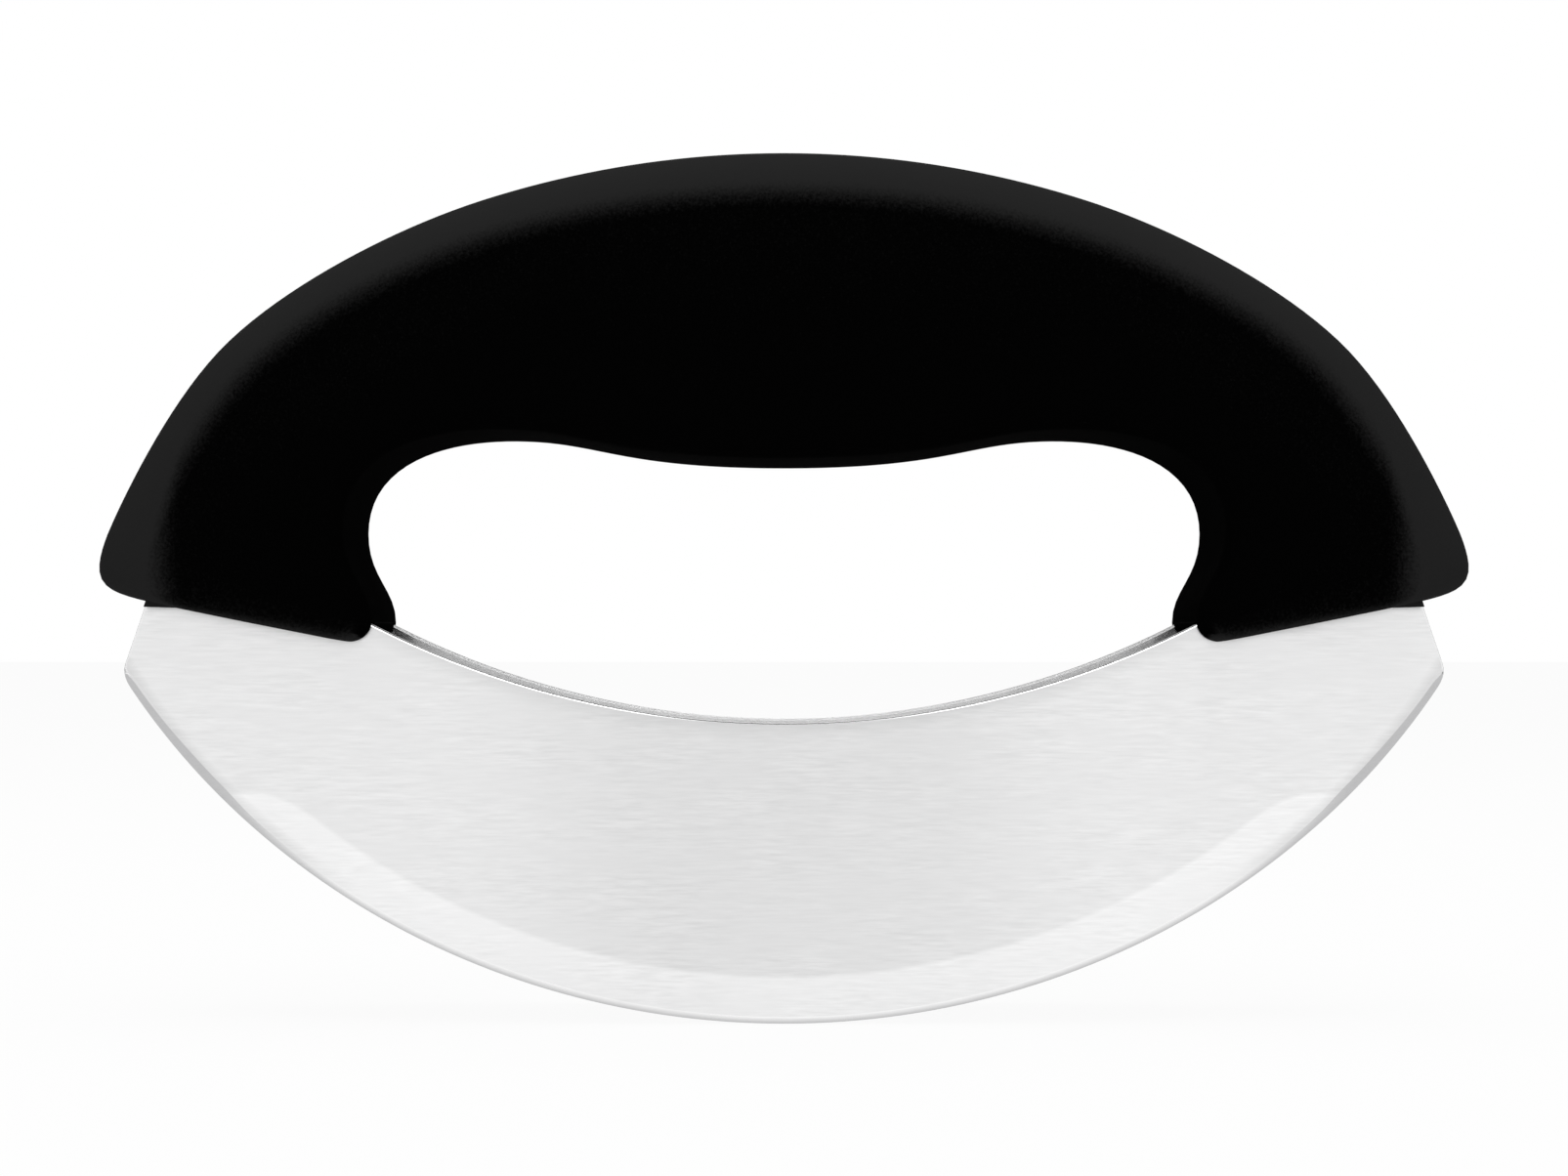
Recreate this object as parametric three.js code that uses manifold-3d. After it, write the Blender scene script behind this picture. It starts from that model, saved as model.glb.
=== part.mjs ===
// Double mezzaluna: two curved chopping blades side by side under one moulded bridge handle.
// Millimetres, +Z up, X along the blades, Y across them.
// The origin is midway between the lowest points of the two cutting edges.
import * as THREE from 'three';
import { mergeVertices } from 'three/addons/utils/BufferGeometryUtils.js';
import Module from 'manifold-3d';

const wasm = await Module();
wasm.setup();

const degrees = THREE.MathUtils.degToRad;

// Blades: plate, outline and spacing
const bladeThick = 1.5;
const bladePitch = 17;
const cornerSpan = 181;
const edgeRunOn = 14.5;
const edgeRise = 96.7;
const cornerTrim = 1.7;
const endLean = degrees(18.8);
const bladeDepth = 41.1;
const spineRadius = 124;
const rimChamfer = 0.25;

// Blades: the broad grind and the bevel at the cutting edge
const grindWidth = 5.8;
const grindSetBack = 22.5;
const grindRunout = 8;
const thickBehindEdge = 1.1;
const edgeLand = 0.12;
const bevelAngle = degrees(26.5);

// Blades: the tangs inside the legs of the handle
const tangReach = 24.4;
const tangCorner = 3;
const tangFillet = 4;
const tangHoleRadius = 3;
const tangHoleRise = 16;
const palmWall = 4.8;

// Handle: the bridge over the blades
const cheekWall = 3.25;
const handGap = 36.2;
const gripDepth = 42.7;
const crownRadius = 137;
const crownHalf = 41.7;
const crownRound = 9;
const shoulderDrop = 27.8;
const shoulderSetIn = 15.1;
const shoulderSlope = degrees(47.4);
const flankSlope = degrees(69);
const flankOverhang = 3.2;
const flankHeight = 15.6;
const tipRun = 13.1;

// Handle: the hand hole
const legWidth = 30.3;
const crestSetIn = 21.1;
const crestRise = 3.9;
const palmDrop = 13.5;
const neckSetIn = 4;
const holeRound = 3.3;

// Handle: the feet of the legs, where the blades go in
const footSlope = degrees(11.2);
const footGap = 10.5;
const footCorner = 2.8;
const footRound = 1.2;
const lipHeight = 0.7;
const lipLength = 4;
const lipWall = 1.2;

// Moulded plastic keeps this clear of the steel in its slots
const clearance = 0.3;
const overrun = 1;

// How far each curve's control points reach, as shares of the stretch that it spans
const shoulderPullShares = [0.34, 0.26];
const flankPullShares = [0.42, 0.03];
const tipPullShares = [0.54, 0.78];
const swellPullShares = [0.63, 0.32];
const palmPullShares = [0.52, 0.73];
const neckPullShares = [0.5, 0.37];

// Facets
const edgeSteps = 52;
const spineSteps = 22;
const cornerSteps = 5;
const stations = 54;
const footSteps = 20;
const crownCornerSteps = 8;
const holeCornerSteps = 4;
const holeSteps = 24;

// Places that several pieces share
const cornerHalf = cornerSpan / 2;
const edgeHalfWidth = cornerHalf + edgeRunOn;
const grindHalf = cornerHalf - grindSetBack;
const palmHalf = cornerHalf - legWidth;
const crestHalf = palmHalf - crestSetIn;
const neckHalf = palmHalf - neckSetIn;
const flankX = cornerHalf + flankOverhang;
const handleHalfThick = (bladePitch + bladeThick) / 2 + cheekWall;
const gripUnderside = bladeDepth + handGap;
const gripTop = gripUnderside + gripDepth;
const footHeight = bladeDepth + footGap;
const tangTop = footHeight + tangReach;

// Points and directions in the XZ plane
const at = (x, z) => new THREE.Vector2(x, z);
const heading = (angle) => at(Math.cos(angle), Math.sin(angle));
const along = (point, direction, distance) => point.clone().addScaledVector(direction, distance);
const mirrored = (points) => points.map((p) => at(-p.x, p.y)).reverse();

function bend(start, startHeading, end, endHeading, pullShares) {
  const chord = start.distanceTo(end);
  return new THREE.CubicBezierCurve(
    start,
    along(start, startHeading, chord * pullShares[0]),
    along(end, endHeading, -chord * pullShares[1]),
    end,
  );
}

function boxBend(start, startHeading, end, endHeading, pullShares) {
  const reach = (direction) => Math.abs(end.clone().sub(start).dot(direction));
  return new THREE.CubicBezierCurve(
    start,
    along(start, startHeading, reach(startHeading) * pullShares[0]),
    along(end, endHeading, -reach(endHeading) * pullShares[1]),
    end,
  );
}

function arc(centre, radius, startAngle, endAngle) {
  const clockwise = endAngle < startAngle;
  return new THREE.EllipseCurve(centre.x, centre.y, radius, radius, startAngle, endAngle, clockwise);
}

// Rounds the corner between two straight stretches, as a row of points
function fillet(before, corner, after, radius) {
  const back = before.clone().sub(corner).normalize();
  const on = after.clone().sub(corner).normalize();
  const half = Math.acos(THREE.MathUtils.clamp(back.dot(on), -1, 1)) / 2;
  const trim = radius / Math.tan(half);
  const centre = along(corner, back.clone().add(on).normalize(), radius / Math.sin(half));
  const start = along(corner, back, trim).sub(centre);
  const turn = Math.sign(start.cross(along(corner, on, trim).sub(centre))) * (Math.PI - 2 * half);
  return Array.from({ length: cornerSteps + 1 }, (_, i) =>
    start.clone().rotateAround(at(0, 0), (turn * i) / cornerSteps).add(centre));
}

// Blade outline

const edgeHeight = (x) => edgeRise * (1 - Math.sqrt(1 - (x / edgeHalfWidth) ** 2));
const spineHeight = (x) => bladeDepth + spineRadius - Math.sqrt(spineRadius ** 2 - x ** 2);
const bladeCorner = at(cornerHalf, edgeHeight(cornerHalf));
const endHeading = heading(Math.PI / 2 + endLean);
const endPoint = (z) => along(bladeCorner, endHeading, (z - bladeCorner.y) / endHeading.y);
const tangInnerX = palmHalf + palmWall;
const tangHole = at(
  (endPoint(footHeight + tangHoleRise).x + tangInnerX) / 2,
  footHeight + tangHoleRise,
);

// The right half, from the middle of the cutting edge to the middle of the spine.
// Each point knows how much of the cutting bevel it carries.
function halfBlade() {
  const points = [];
  const add = (point, bevelShare) => points.push({ point, bevelShare });

  const edgeAngle = Math.asin(cornerHalf / edgeHalfWidth) * (1 - cornerTrim / cornerHalf);
  for (let i = 0; i < edgeSteps; i += 1) {
    const angle = (edgeAngle * i) / edgeSteps;
    const x = edgeHalfWidth * Math.sin(angle);
    add(at(x, edgeHeight(x)), 1);
  }
  const edgeEndX = edgeHalfWidth * Math.sin(edgeAngle);
  const rounding = new THREE.QuadraticBezierCurve(
    at(edgeEndX, edgeHeight(edgeEndX)),
    bladeCorner,
    along(bladeCorner, endHeading, cornerTrim),
  );
  rounding.getPoints(cornerSteps).forEach((p, i) => {
    add(p, (1 + Math.cos((Math.PI * i) / cornerSteps)) / 2);
  });

  const tangOuterTop = endPoint(tangTop);
  const tangInnerTop = at(tangInnerX, tangTop);
  const root = at(tangInnerX, spineHeight(tangInnerX));
  const spineStartX = tangInnerX - tangFillet;
  const spineStart = at(spineStartX, spineHeight(spineStartX));
  const tang = [
    ...fillet(endPoint(footHeight), tangOuterTop, tangInnerTop, tangCorner),
    ...fillet(tangOuterTop, tangInnerTop, root, tangCorner),
    ...new THREE.QuadraticBezierCurve(at(root.x, root.y + tangFillet), root, spineStart)
      .getPoints(cornerSteps),
  ];
  tang.forEach((p) => add(p, 0));

  const spineAngle = Math.asin(spineStartX / spineRadius);
  for (let i = 1; i < spineSteps; i += 1) {
    const x = spineRadius * Math.sin(spineAngle * (1 - i / spineSteps));
    add(at(x, spineHeight(x)), 0);
  }
  add(at(0, bladeDepth), 0);
  return points;
}

// The closed outline, counter-clockwise as seen from the front
function wholeBlade() {
  const right = halfBlade();
  const left = right.slice(1, -1).reverse();
  return [
    ...right,
    ...left.map(({ point, bevelShare }) => ({ point: at(-point.x, point.y), bevelShare })),
  ];
}

// For each point of a counter-clockwise outline, the step that moves it inward by one unit
function inwardSteps(points) {
  const normal = (a, b) => at(a.y - b.y, b.x - a.x).normalize();
  return points.map((p, i) => {
    const before = normal(points.at(i - 1), p);
    const after = normal(p, points[(i + 1) % points.length]);
    const middle = before.clone().add(after).normalize();
    return middle.divideScalar(middle.dot(after));
  });
}

function circlePoints(centre, radius) {
  return arc(centre, radius, 0, 2 * Math.PI).getPoints(holeSteps).slice(1);
}

const tangHoles = (radius) => [
  circlePoints(tangHole, radius),
  circlePoints(at(-tangHole.x, tangHole.y), radius),
];

// The share of the broad grind's full width and depth at a place along the blade
function grindShare(x) {
  const past = (Math.abs(x) - grindHalf) / grindRunout;
  return Math.sqrt(1 - THREE.MathUtils.clamp(past, 0, 1) ** 2);
}

// The three rims on one side of the blade at one outline point: the edge itself, the top of the
// bevel and the top of the broad grind, each as an inset from the outline and a half thickness
function bladeRims({ point, bevelShare }) {
  const grind = grindShare(point.x) * bevelShare;
  const grindDepth = (grind * (bladeThick - thickBehindEdge)) / 2;
  const bevelDepth = (bladeThick - edgeLand) / 2 - grindDepth;
  const mix = (cutting, plain) => THREE.MathUtils.lerp(plain, cutting, bevelShare);
  const bevelInset = mix(bevelDepth / Math.tan(bevelAngle), rimChamfer);
  return [
    { inset: 0, half: mix(edgeLand / 2, bladeThick / 2 - rimChamfer) },
    { inset: bevelInset, half: bladeThick / 2 - grindDepth },
    { inset: bevelInset + grind * grindWidth, half: bladeThick / 2 },
  ];
}

// Gathers vertices and triangles; a triangle with two corners in one place is left out
class Skin {
  constructor() {
    this.vertices = [];
    this.triangles = [];
  }

  vertex(x, y, z) {
    return this.vertices.push([x, y, z]) - 1;
  }

  triangle(a, b, c) {
    if (a !== b && b !== c && c !== a) this.triangles.push([a, b, c]);
  }

  quad(a, b, c, d) {
    this.triangle(a, b, c);
    this.triangle(a, c, d);
  }

  geometry() {
    const geometry = new THREE.BufferGeometry();
    geometry.setAttribute('position', new THREE.Float32BufferAttribute(this.vertices.flat(), 3));
    geometry.setIndex(this.triangles.flat());
    return geometry;
  }
}

// Fills a flat outline with holes; every triangle comes out counter-clockwise
function fill(contour, holes) {
  const all = [...contour, ...holes.flat()];
  return THREE.ShapeUtils.triangulateShape(contour, holes).map(([a, b, c]) => {
    const turn = all[b].clone().sub(all[a]).cross(all[c].clone().sub(all[a]));
    return turn > 0 ? [a, b, c] : [a, c, b];
  });
}

function bladeGeometry() {
  const skin = new Skin();
  const outline = wholeBlade();
  const inward = inwardSteps(outline.map(({ point }) => point));
  const holes = tangHoles(tangHoleRadius);

  const rimVertices = (side) => outline.map((entry, i) => {
    const rims = bladeRims(entry);
    const ids = rims.map(({ inset, half }) => {
      const p = along(entry.point, inward[i], inset);
      return skin.vertex(p.x, side * half, p.y);
    });
    if (rims[2].inset === rims[1].inset) ids[2] = ids[1];
    return ids;
  });
  const front = rimVertices(-1);
  const back = rimVertices(1);
  outline.forEach((_, i) => {
    const j = (i + 1) % outline.length;
    skin.quad(front[i][0], back[i][0], back[j][0], front[j][0]);
    for (const [outer, inner] of [[0, 1], [1, 2]]) {
      skin.quad(front[i][outer], front[j][outer], front[j][inner], front[i][inner]);
      skin.quad(back[j][outer], back[i][outer], back[i][inner], back[j][inner]);
    }
  });

  const face = outline.map((entry, i) => along(entry.point, inward[i], bladeRims(entry)[2].inset));
  const holeVertices = (side) => holes.flat().map((p) => skin.vertex(p.x, (side * bladeThick) / 2, p.y));
  const frontIds = [...front.map((ids) => ids[2]), ...holeVertices(-1)];
  const backIds = [...back.map((ids) => ids[2]), ...holeVertices(1)];
  for (const [a, b, c] of fill(face, holes)) {
    skin.triangle(frontIds[a], frontIds[b], frontIds[c]);
    skin.triangle(backIds[a], backIds[c], backIds[b]);
  }
  let first = outline.length;
  for (const hole of holes) {
    hole.forEach((_, i) => {
      const a = first + i;
      const b = first + ((i + 1) % hole.length);
      skin.quad(frontIds[a], frontIds[b], backIds[b], backIds[a]);
    });
    first += hole.length;
  }
  return skin.geometry();
}

// Handle outline

const footLine = (x) => footHeight + (x - neckHalf) * Math.tan(footSlope);
const footCornerX = neckHalf + footCorner;
const footCornerCentre = at(footCornerX, footLine(footCornerX) + footCorner / Math.cos(footSlope));
const flankEnd = at(flankX, footHeight + flankHeight);

function outerHalf() {
  const crownAngle = Math.asin(crownHalf / crownRadius);
  const crown = arc(at(0, gripTop - crownRadius), crownRadius, Math.PI / 2, Math.PI / 2 - crownAngle);
  const shoulder = at(flankX - shoulderSetIn, gripTop - shoulderDrop);
  const curve = new THREE.CurvePath();
  curve.add(crown);
  curve.add(bend(crown.getPoint(1), heading(-crownAngle), shoulder, heading(-shoulderSlope),
    shoulderPullShares));
  curve.add(bend(shoulder, heading(-shoulderSlope), flankEnd, heading(-flankSlope), flankPullShares));
  return curve.getSpacedPoints(stations);
}

function innerHalf() {
  const level = at(1, 0);
  const down = at(0, -1);
  const crest = at(crestHalf, gripUnderside + crestRise);
  const palm = at(palmHalf, crest.y - palmDrop);
  const neck = at(neckHalf, footCornerCentre.y);
  const curve = new THREE.CurvePath();
  curve.add(boxBend(at(0, gripUnderside), level, crest, level, swellPullShares));
  curve.add(boxBend(crest, level, palm, down, palmPullShares));
  curve.add(boxBend(palm, down, neck, down, neckPullShares));
  return curve.getSpacedPoints(stations);
}

// The rounded ends of the outline down to the foot, on the inner and the outer side
const footInner = arc(footCornerCentre, footCorner, Math.PI, 1.5 * Math.PI + footSlope)
  .getPoints(footSteps).slice(1);
const tipEnd = at(flankX - tipRun, footLine(flankX - tipRun));
const footOuter = bend(flankEnd, heading(-flankSlope), tipEnd, heading(Math.PI + footSlope), tipPullShares)
  .getSpacedPoints(footSteps).slice(1);

// One rounded cross-section of the handle, between its inner and its outer outline
function section(inner, outer, half) {
  const width = inner.distanceTo(outer);
  const direction = outer.clone().sub(inner).divideScalar(width);
  const corners = [
    { u: width - crownRound, y: half - crownRound, radius: crownRound, from: 0, steps: crownCornerSteps },
    { u: holeRound, y: half - holeRound, radius: holeRound, from: 1, steps: holeCornerSteps },
    { u: holeRound, y: holeRound - half, radius: holeRound, from: 2, steps: holeCornerSteps },
    { u: width - crownRound, y: crownRound - half, radius: crownRound, from: 3, steps: crownCornerSteps },
  ];
  return corners.flatMap(({ u, y, radius, from, steps }) =>
    Array.from({ length: steps + 1 }, (_, i) => {
      const turn = ((from + i / steps) * Math.PI) / 2;
      const p = along(inner, direction, u + radius * Math.cos(turn));
      return [p.x, y + radius * Math.sin(turn), p.y];
    }));
}

// All cross-sections, from the left foot over the grip to the right foot
function sections() {
  const inner = [...innerHalf(), ...footInner];
  const outer = [...outerHalf(), ...footOuter];
  const right = inner.map((p, i) => {
    const turn = (Math.max(i - stations, 0) / footSteps) * (Math.PI / 2);
    return section(p, outer[i], handleHalfThick - footRound * (1 - Math.cos(turn)));
  });
  const left = right.slice(1).map((ring) => ring.map(([x, y, z]) => [-x, y, z])).reverse();
  return [...left, ...right];
}

function handleBody() {
  const skin = new Skin();
  const rings = sections().map((ring) => ring.map((p) => skin.vertex(...p)));
  const count = rings[0].length;
  rings.slice(1).forEach((ring, k) => {
    const previous = rings[k];
    for (let i = 0; i < count; i += 1) {
      const j = (i + 1) % count;
      skin.quad(previous[i], ring[i], ring[j], previous[j]);
    }
  });
  for (let i = 1; i < count - 1; i += 1) {
    skin.triangle(rings[0][0], rings[0][i], rings[0][i + 1]);
    skin.triangle(rings.at(-1)[0], rings.at(-1)[i + 1], rings.at(-1)[i]);
  }
  return skin.geometry();
}

// A flat outline with holes, as a plate that is centred on its own middle plane
function plate(contour, holes, thickness) {
  const shape = new THREE.Shape(contour);
  shape.holes = holes.map((points) => new THREE.Path(points));
  const geometry = new THREE.ExtrudeGeometry(shape, { depth: thickness, bevelEnabled: false });
  geometry.translate(0, 0, -thickness / 2);
  geometry.rotateX(Math.PI / 2);
  return geometry;
}

// The room that a blade takes in the handle; the moulded posts through its tang holes stay
function slotCutter() {
  const points = wholeBlade().map(({ point }) => point);
  const grown = inwardSteps(points).map((step, i) => along(points[i], step, -clearance));
  return plate(grown, tangHoles(tangHoleRadius - clearance), bladeThick + 2 * clearance);
}

// The small wedge under the outer end of each foot that closes on the blade's upper corner
function lip(side) {
  const top = (x) => at(x, footLine(x) + overrun);
  const outerX = endPoint(footLine(cornerHalf)).x;
  const start = at(outerX, footLine(outerX));
  const wedge = [
    top(outerX - lipLength),
    at(outerX - lipLength, footLine(outerX - lipLength)),
    along(start, endHeading, -lipHeight),
    along(start, endHeading, overrun),
  ];
  return plate(side > 0 ? wedge : mirrored(wedge), [], bladeThick + 2 * lipWall);
}

function solid(geometry) {
  geometry.deleteAttribute('normal');
  geometry.deleteAttribute('uv');
  const merged = mergeVertices(geometry);
  return new wasm.Manifold(new wasm.Mesh({
    numProp: 3,
    vertProperties: Float32Array.from(merged.attributes.position.array),
    triVerts: Uint32Array.from(merged.index.array),
  }));
}

function geometryOf(manifold) {
  const { vertProperties, triVerts } = manifold.getMesh();
  const geometry = new THREE.BufferGeometry();
  geometry.setAttribute('position', new THREE.Float32BufferAttribute(vertProperties, 3));
  geometry.setIndex(Array.from(triVerts));
  return geometry;
}

function handleGeometry() {
  let handle = solid(handleBody());
  for (const y of [-bladePitch / 2, bladePitch / 2]) {
    for (const side of [-1, 1]) handle = handle.add(solid(lip(side)).translate([0, y, 0]));
    handle = handle.subtract(solid(slotCutter()).translate([0, y, 0]));
  }
  return geometryOf(handle);
}

const blackPlastic = new THREE.MeshStandardMaterial({ color: 0x121212, roughness: 0.5, metalness: 0 });
const brushedSteel = new THREE.MeshStandardMaterial({ color: 0xd9d9d6, roughness: 0.32, metalness: 1 });

function piece(name, geometry, material, y = 0) {
  geometry.computeVertexNormals();
  const mesh = new THREE.Mesh(geometry, material);
  mesh.name = name;
  mesh.position.y = y;
  return mesh;
}

const mezzaluna = new THREE.Group();
mezzaluna.add(
  piece('handle', handleGeometry(), blackPlastic),
  piece('front_blade', bladeGeometry(), brushedSteel, -bladePitch / 2),
  piece('rear_blade', bladeGeometry(), brushedSteel, bladePitch / 2),
);

export default mezzaluna;
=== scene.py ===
"""Double mezzaluna: finishes the moulded handle and the two blades, and sets the stage."""

import math

import bmesh
import bpy
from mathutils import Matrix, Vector


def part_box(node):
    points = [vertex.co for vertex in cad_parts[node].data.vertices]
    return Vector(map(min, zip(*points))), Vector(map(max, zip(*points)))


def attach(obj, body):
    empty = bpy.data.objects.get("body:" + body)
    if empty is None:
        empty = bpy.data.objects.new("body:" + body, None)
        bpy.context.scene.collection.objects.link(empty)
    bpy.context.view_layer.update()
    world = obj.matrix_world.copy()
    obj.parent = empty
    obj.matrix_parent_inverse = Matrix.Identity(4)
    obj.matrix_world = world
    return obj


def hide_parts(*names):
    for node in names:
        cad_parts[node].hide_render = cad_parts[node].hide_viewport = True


bl_info = {
    "name": "Double Mezzaluna",
    "version": (1, 0, 0),
    "blender": (4, 5, 0),
    "location": "3D View > Sidebar > Mezzaluna",
    "description": "Finishes a double mezzaluna's handle and blades and lights them",
    "category": "Object",
}

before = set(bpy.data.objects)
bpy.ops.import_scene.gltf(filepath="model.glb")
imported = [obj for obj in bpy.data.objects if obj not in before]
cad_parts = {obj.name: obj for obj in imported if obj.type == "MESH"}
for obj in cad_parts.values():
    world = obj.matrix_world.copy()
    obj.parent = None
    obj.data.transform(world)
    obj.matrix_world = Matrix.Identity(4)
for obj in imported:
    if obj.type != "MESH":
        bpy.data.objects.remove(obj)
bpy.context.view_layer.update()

MM = 0.001

# Places that follow from the frame. The hand hole's middle is a set rise above the feet.
FRONT_LOW, FRONT_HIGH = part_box("front_blade")
PLATE_THICKNESS = FRONT_HIGH.y - FRONT_LOW.y
BLADE_HALF = FRONT_HIGH.x
BLADE_OFFSET = -(FRONT_HIGH.y + FRONT_LOW.y) / 2
HANDLE_LOW, HANDLE_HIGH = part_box("handle")
FOOT_HALF = HANDLE_HIGH.x
HOLE_RISE = 10.0 * MM
HOLE_MIDDLE = Vector((0.0, 0.0, HANDLE_LOW.z + HOLE_RISE))

# Multiplies a place so that it is taken as seen from the front.
SEEN_FLAT = Vector((1.0, 0.0, 1.0))

# Corners of the CAD triangles that lie this close are one corner, and triangles that meet
# at less than this angle are one flat face.
SAME_CORNER = 0.001 * MM
FLAT = math.radians(0.02)

# The handle's edges are crisp above the first angle. The bevel rolls softly into the broad
# grind and meets the flat face in a crisp line, which the second angle tells apart.
HANDLE_CREASE = math.radians(35)
BEVEL_CREASE = math.radians(25.5)

# The blade's outline: the spine is an arc about a point above the blade, the broad grind
# runs along the cutting edge between its two blunt ends and leaves this thickness.
SPINE_RADIUS = 124.0 * MM
BLADE_DEPTH = 41.1 * MM
SPINE_CENTRE = Vector((0.0, 0.0, FRONT_LOW.z + BLADE_DEPTH + SPINE_RADIUS))
GRIND_HALF = 68.0 * MM
THICK_BEHIND_EDGE = 1.1 * MM
EDGE_LAND = 0.12 * MM

# The cutting edge is the lower part of an ellipse with these half axes. The bevel's
# shoulder lies at the first share of them and the shade beside it ends at the second.
EDGE_AXES = (105.0 * MM, 96.7 * MM)
SHOULDER_SHARE = 0.986
FACE_SHARE = 0.974

# The polished spine between the legs: how far it reaches, how wide its chamfers are, the
# angles between which their edges lie, and how far each edge is rounded off.
SPINE_HALF = 58.0 * MM
CHAMFER_WIDTH = 0.25 * MM
CHAMFER_EDGES = (math.radians(40), math.radians(50))
SPINE_ROUNDING = 0.16 * MM

# A face's share of its normal across the blade: the brushed faces and the broad grind
# lie above the first value, the honed bevel between the first two, the chamfers of the
# spine and of the ends between the last two, and the spine and the ends below.
BRUSHED_FLATNESS = 0.97
BEVEL_FLATNESS = 0.8
CHAMFER_FLATNESS = 0.6

# The spine's flat top looks up at least this much.
SPINE_RISE = 0.5

# Places of the finishes in each blade's list of materials.
OUTSIDE, BEVEL, RIM, SPINE_TOP, INSIDE, INNER_RIM = range(6)

# The map that the brushing's highlights follow, and the handle's mark of its outside.
BRUSHING_MAP = "brushing"
OUTWARD_MARK = "outward"

# A belt's streaks are deeper in some patches than in others. A patch is longer than wide by
# one over the stretch, and its strength comes from the noise between the two borders. The
# depths and the tones are those of the faintest and of the strongest patch.
PATCH_SIZE = 5.0 * MM
PATCH_STRETCH = 0.4
PATCH_BORDERS = (0.35, 0.68)
STREAK_DEPTHS = (0.7, 3.0)
PATCH_TONES = (0.44, 0.56)
STREAK_HEIGHT = 0.004 * MM

# How strongly the streaks stand out of each finish, and how far they shade its colour.
FACE_RELIEF = 0.35
BEVEL_RELIEF = 0.2
RIM_RELIEF = 0.05
BEVEL_CONTRAST = 0.03
RIM_CONTRAST = 0.02

# How far a highlight is spread across the streaks outside and between the blades, and how
# far a finish's roughness strays in the patches.
OUTER_SPREAD = 0.6
INNER_SPREAD = 1.0
SMOOTHER_PATCH = 0.03
ROUGHER_PATCH = 0.04

# Distances from the tool's middle between which a shade or a finish changes.
FACE_FADE = (14.0 * MM, 48.0 * MM)
RIM_FADE = (8.0 * MM, 28.0 * MM)
BEVEL_SHADE_FADE = (GRIND_HALF - 11.0 * MM, GRIND_HALF + 2.0 * MM)
SHOULDER_FADE = (GRIND_HALF - 12.0 * MM, GRIND_HALF + 12.0 * MM)
CORNER_FADE = (BLADE_HALF - 14.0 * MM, BLADE_HALF + 2.0 * MM)
FOOT_FADE = (FOOT_HALF - 14.0 * MM, FOOT_HALF - 6.0 * MM)

# Shades of the blade: how far the one beside the spine reaches down, the ones of the broad
# grind in its middle and at its foot, and the one of the face beside the bevel at the ends.
SPINE_SHADE_DEPTH = 2.5 * MM
GRIND_MIDDLE_SHADE = 0.95
GRIND_FOOT_SHADE = 0.97
CORNER_SHADE = 0.87

# The broad grind's finish starts and is full at these depths under the flat face.
GRIND_START = 0.0005 * MM
GRIND_FULL = 0.022 * MM

# The stone hones the bevel until half the blade's thickness is the first value, and at the
# corners only until it is the second, with this much of a soft border.
HONED_HALVES = (PLATE_THICKNESS * 0.53, PLATE_THICKNESS * 0.35)
HONED_BORDER = 0.04 * MM

# Points of the handle that turn further towards the hand hole than the first share are the
# hole's walls. The feet's undersides get the second share of the crown's painted sheen, a
# highlight painted into the plastic's colour.
HOLE_WALL = -0.4
UNDERSIDE_SHEEN = 0.4

# What the grain's peaks and the feet's outer ends add to how far a point turns outwards, and
# the range of it over which the plastic goes from its own black to the painted sheen.
PEAK_SHEEN = 0.3
FOOT_END_SHEEN = 0.45
PAINTED_SHEEN_RANGE = (0.03, 0.43)

# The handled patches of the plastic, and how far their roughness strays.
HANDLED_SIZE = 14.0 * MM
HANDLED_BORDERS = (0.3, 0.7)
HANDLED_ROUGHNESS = 0.05

# The floor: half its side in metres, and the share of plain white that it shows.
FLOOR_HALF = 4.0
FLOOR_WHITE = 0.93
WHITE = (1.0, 1.0, 1.0, 1.0)

# The softbox above the tool, in metres.
SOFTBOX_SIZE = (0.7, 0.5)
SOFTBOX_PLACE = (0.0, -0.05, 0.75)
SOFTBOX_TILT = math.radians(-4)

# The backdrop dims over this range of a direction's share towards the camera's side.
FRONT_RANGE = (0.9, 0.995)

# The camera's sensor in millimetres, and how near and how far it sees in metres.
SENSOR_WIDTH = 36.0
CLIP_RANGE = (0.01, 20.0)


class HandleSettings(bpy.types.PropertyGroup):
    """The moulded handle's finish."""

    colour: bpy.props.FloatVectorProperty(
        name="Plastic colour",
        description="Colour of the black moulding compound",
        default=(0.001, 0.001, 0.001),
        size=3,
        min=0.0,
        max=1.0,
        subtype="COLOR",
    )
    # Painted sheen: a highlight of the rounded outside, painted into the colour.
    painted_sheen_colour: bpy.props.FloatVectorProperty(
        name="Painted sheen colour",
        description="Painted sheen on the rounded outside, lighter than the plastic",
        default=(0.019, 0.019, 0.019),
        size=3,
        min=0.0,
        max=1.0,
        subtype="COLOR",
    )
    shine: bpy.props.FloatProperty(
        name="Shine",
        description="Specular level of the satin plastic",
        default=0.0004,
        precision=4,
        min=0.0,
        max=1.0,
        subtype="FACTOR",
    )
    roughness: bpy.props.FloatProperty(
        name="Roughness",
        description="Mean roughness of the mould's satin face",
        default=0.8,
        min=0.0,
        max=1.0,
        subtype="FACTOR",
    )
    grain_size: bpy.props.FloatProperty(
        name="Grain size",
        description="Distance between the pits of the mould grain",
        default=0.34 * MM,
        min=0.05 * MM,
        max=5 * MM,
        unit="LENGTH",
    )
    grain_depth: bpy.props.FloatProperty(
        name="Grain depth",
        description="Depth of the mould grain",
        default=0.02 * MM,
        min=0.0,
        max=1 * MM,
        unit="LENGTH",
    )


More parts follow.
